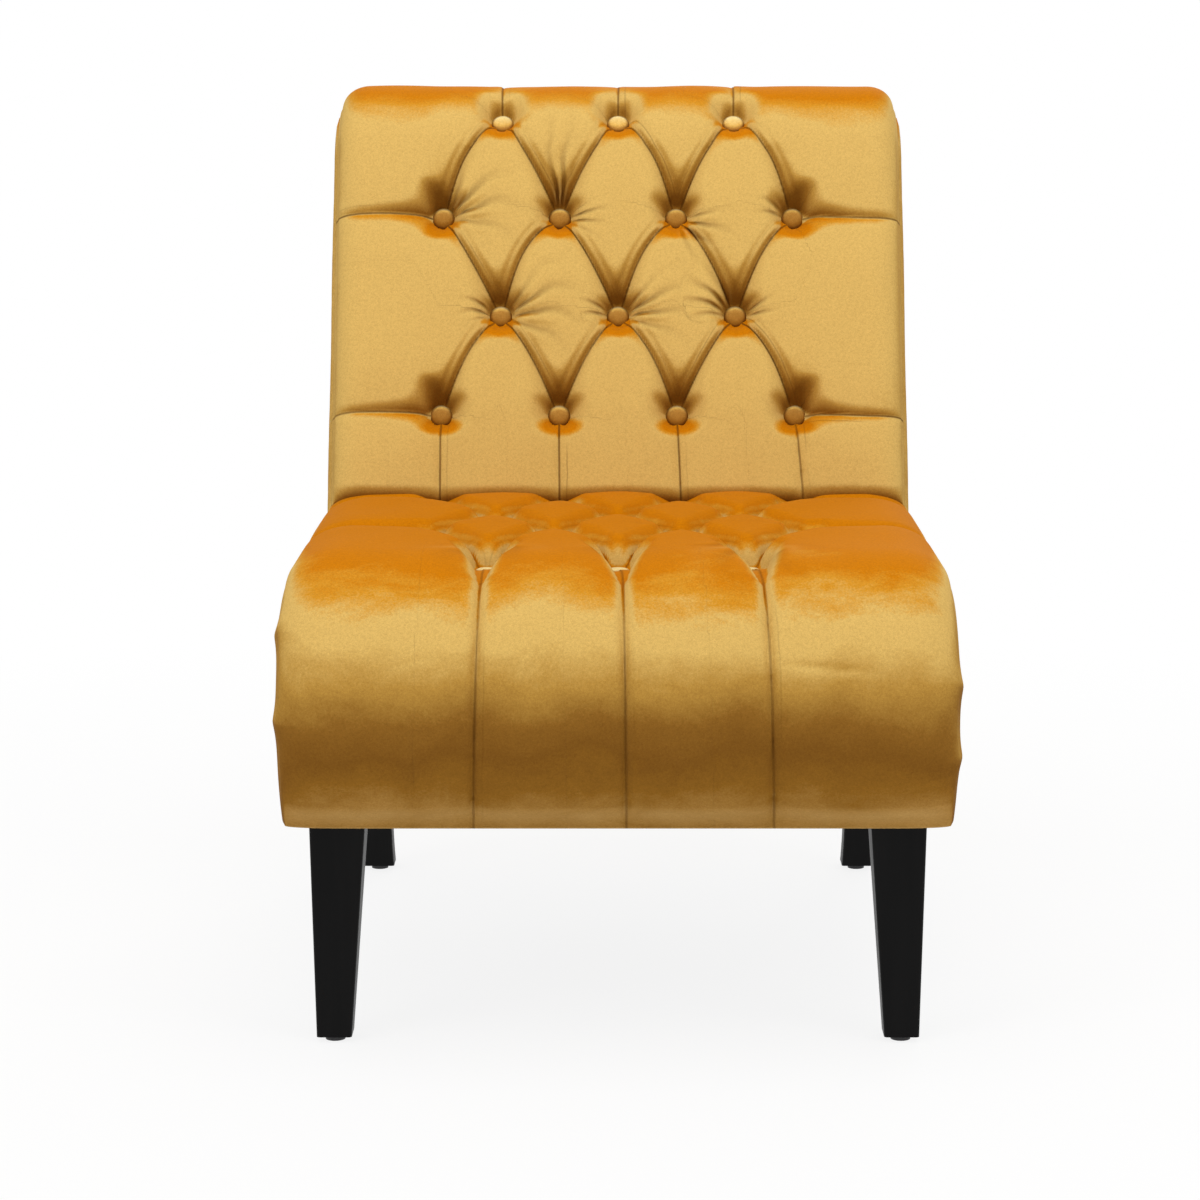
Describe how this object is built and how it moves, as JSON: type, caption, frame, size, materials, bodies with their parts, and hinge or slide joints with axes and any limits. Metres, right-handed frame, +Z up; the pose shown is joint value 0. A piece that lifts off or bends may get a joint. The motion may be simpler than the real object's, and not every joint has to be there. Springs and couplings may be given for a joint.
{
  "type": "slipper chair",
  "caption": "Armless slipper chair in gold velvet with a diamond-tufted back and seat, a rolled top, a waterfall front and dark tapered legs.",
  "frame": {"origin": "on the floor, in the middle of the overall box", "axes": "+Z up, -Y towards the front of the chair, +X to the right of someone who faces the front"},
  "size_m": [0.568, 0.7699, 0.8011],
  "materials": {
    "gold_velvet": "cut velvet, gold, soft nap with sheen",
    "button_velvet": "cut velvet stretched over a button or cord",
    "foam": "upholstery foam",
    "batting": "loose polyester wadding",
    "plywood": "raw plywood",
    "hardwood": "raw hardwood",
    "webbing": "woven webbing and twine",
    "burlap": "open jute weave",
    "washer_plastic": "plain moulded",
    "tack_card": "pressed card strip",
    "dust_cloth": "thin black non-woven cloth",
    "glide_plastic": "dark moulded glide",
    "steel": "zinc plated",
    "dark_wood": "near-black satin lacquer"
  },
  "bodies": {
    "root": {"back_burlap": "burlap", "back_buttons_row_a": "button_velvet", "back_buttons_row_b": "button_velvet", "back_buttons_row_c": "button_velvet", "back_buttons_row_d": "button_velvet", "back_cover": "gold_velvet", "back_foam": "foam", "back_twines": "webbing", "back_washers": "washer_plastic", "back_webbing_cross": "webbing", "back_webbing_long": "webbing", "back_welt_left": "button_velvet", "back_welt_right": "button_velvet", "corner_blocks": "hardwood", "dust_cover": "dust_cloth", "frame_screws": "steel", "front_leg_glide_left": "glide_plastic", "front_leg_glide_right": "glide_plastic", "front_leg_left": "dark_wood", "front_leg_right": "dark_wood", "front_rail": "hardwood", "glide_nails": "steel", "leg_bolts": "steel", "lower_back_rail": "hardwood", "outside_back_cover": "gold_velvet", "outside_back_padding": "batting", "rear_leg_glide_left": "glide_plastic", "rear_leg_glide_right": "glide_plastic", "rear_leg_left": "dark_wood", "rear_leg_right": "dark_wood", "rear_rail": "hardwood", "roll_rail": "hardwood", "seat_burlap": "burlap", "seat_buttons_row_e": "button_velvet", "seat_buttons_row_f": "button_velvet", "seat_buttons_row_g": "button_velvet", "seat_buttons_row_h": "button_velvet", "seat_cover": "gold_velvet", "seat_foam": "foam", "seat_twines": "webbing", "seat_washers": "washer_plastic", "seat_webbing_cross": "webbing", "seat_webbing_long": "webbing", "seat_welt_left": "button_velvet", "seat_welt_right": "button_velvet", "side_cover_left": "gold_velvet", "side_cover_right": "gold_velvet", "side_frame_left": "plywood", "side_frame_right": "plywood", "side_padding_left": "batting", "side_padding_right": "batting", "tack_strip": "tack_card", "top_back_rail": "hardwood"}
  },
  "joints": []
}
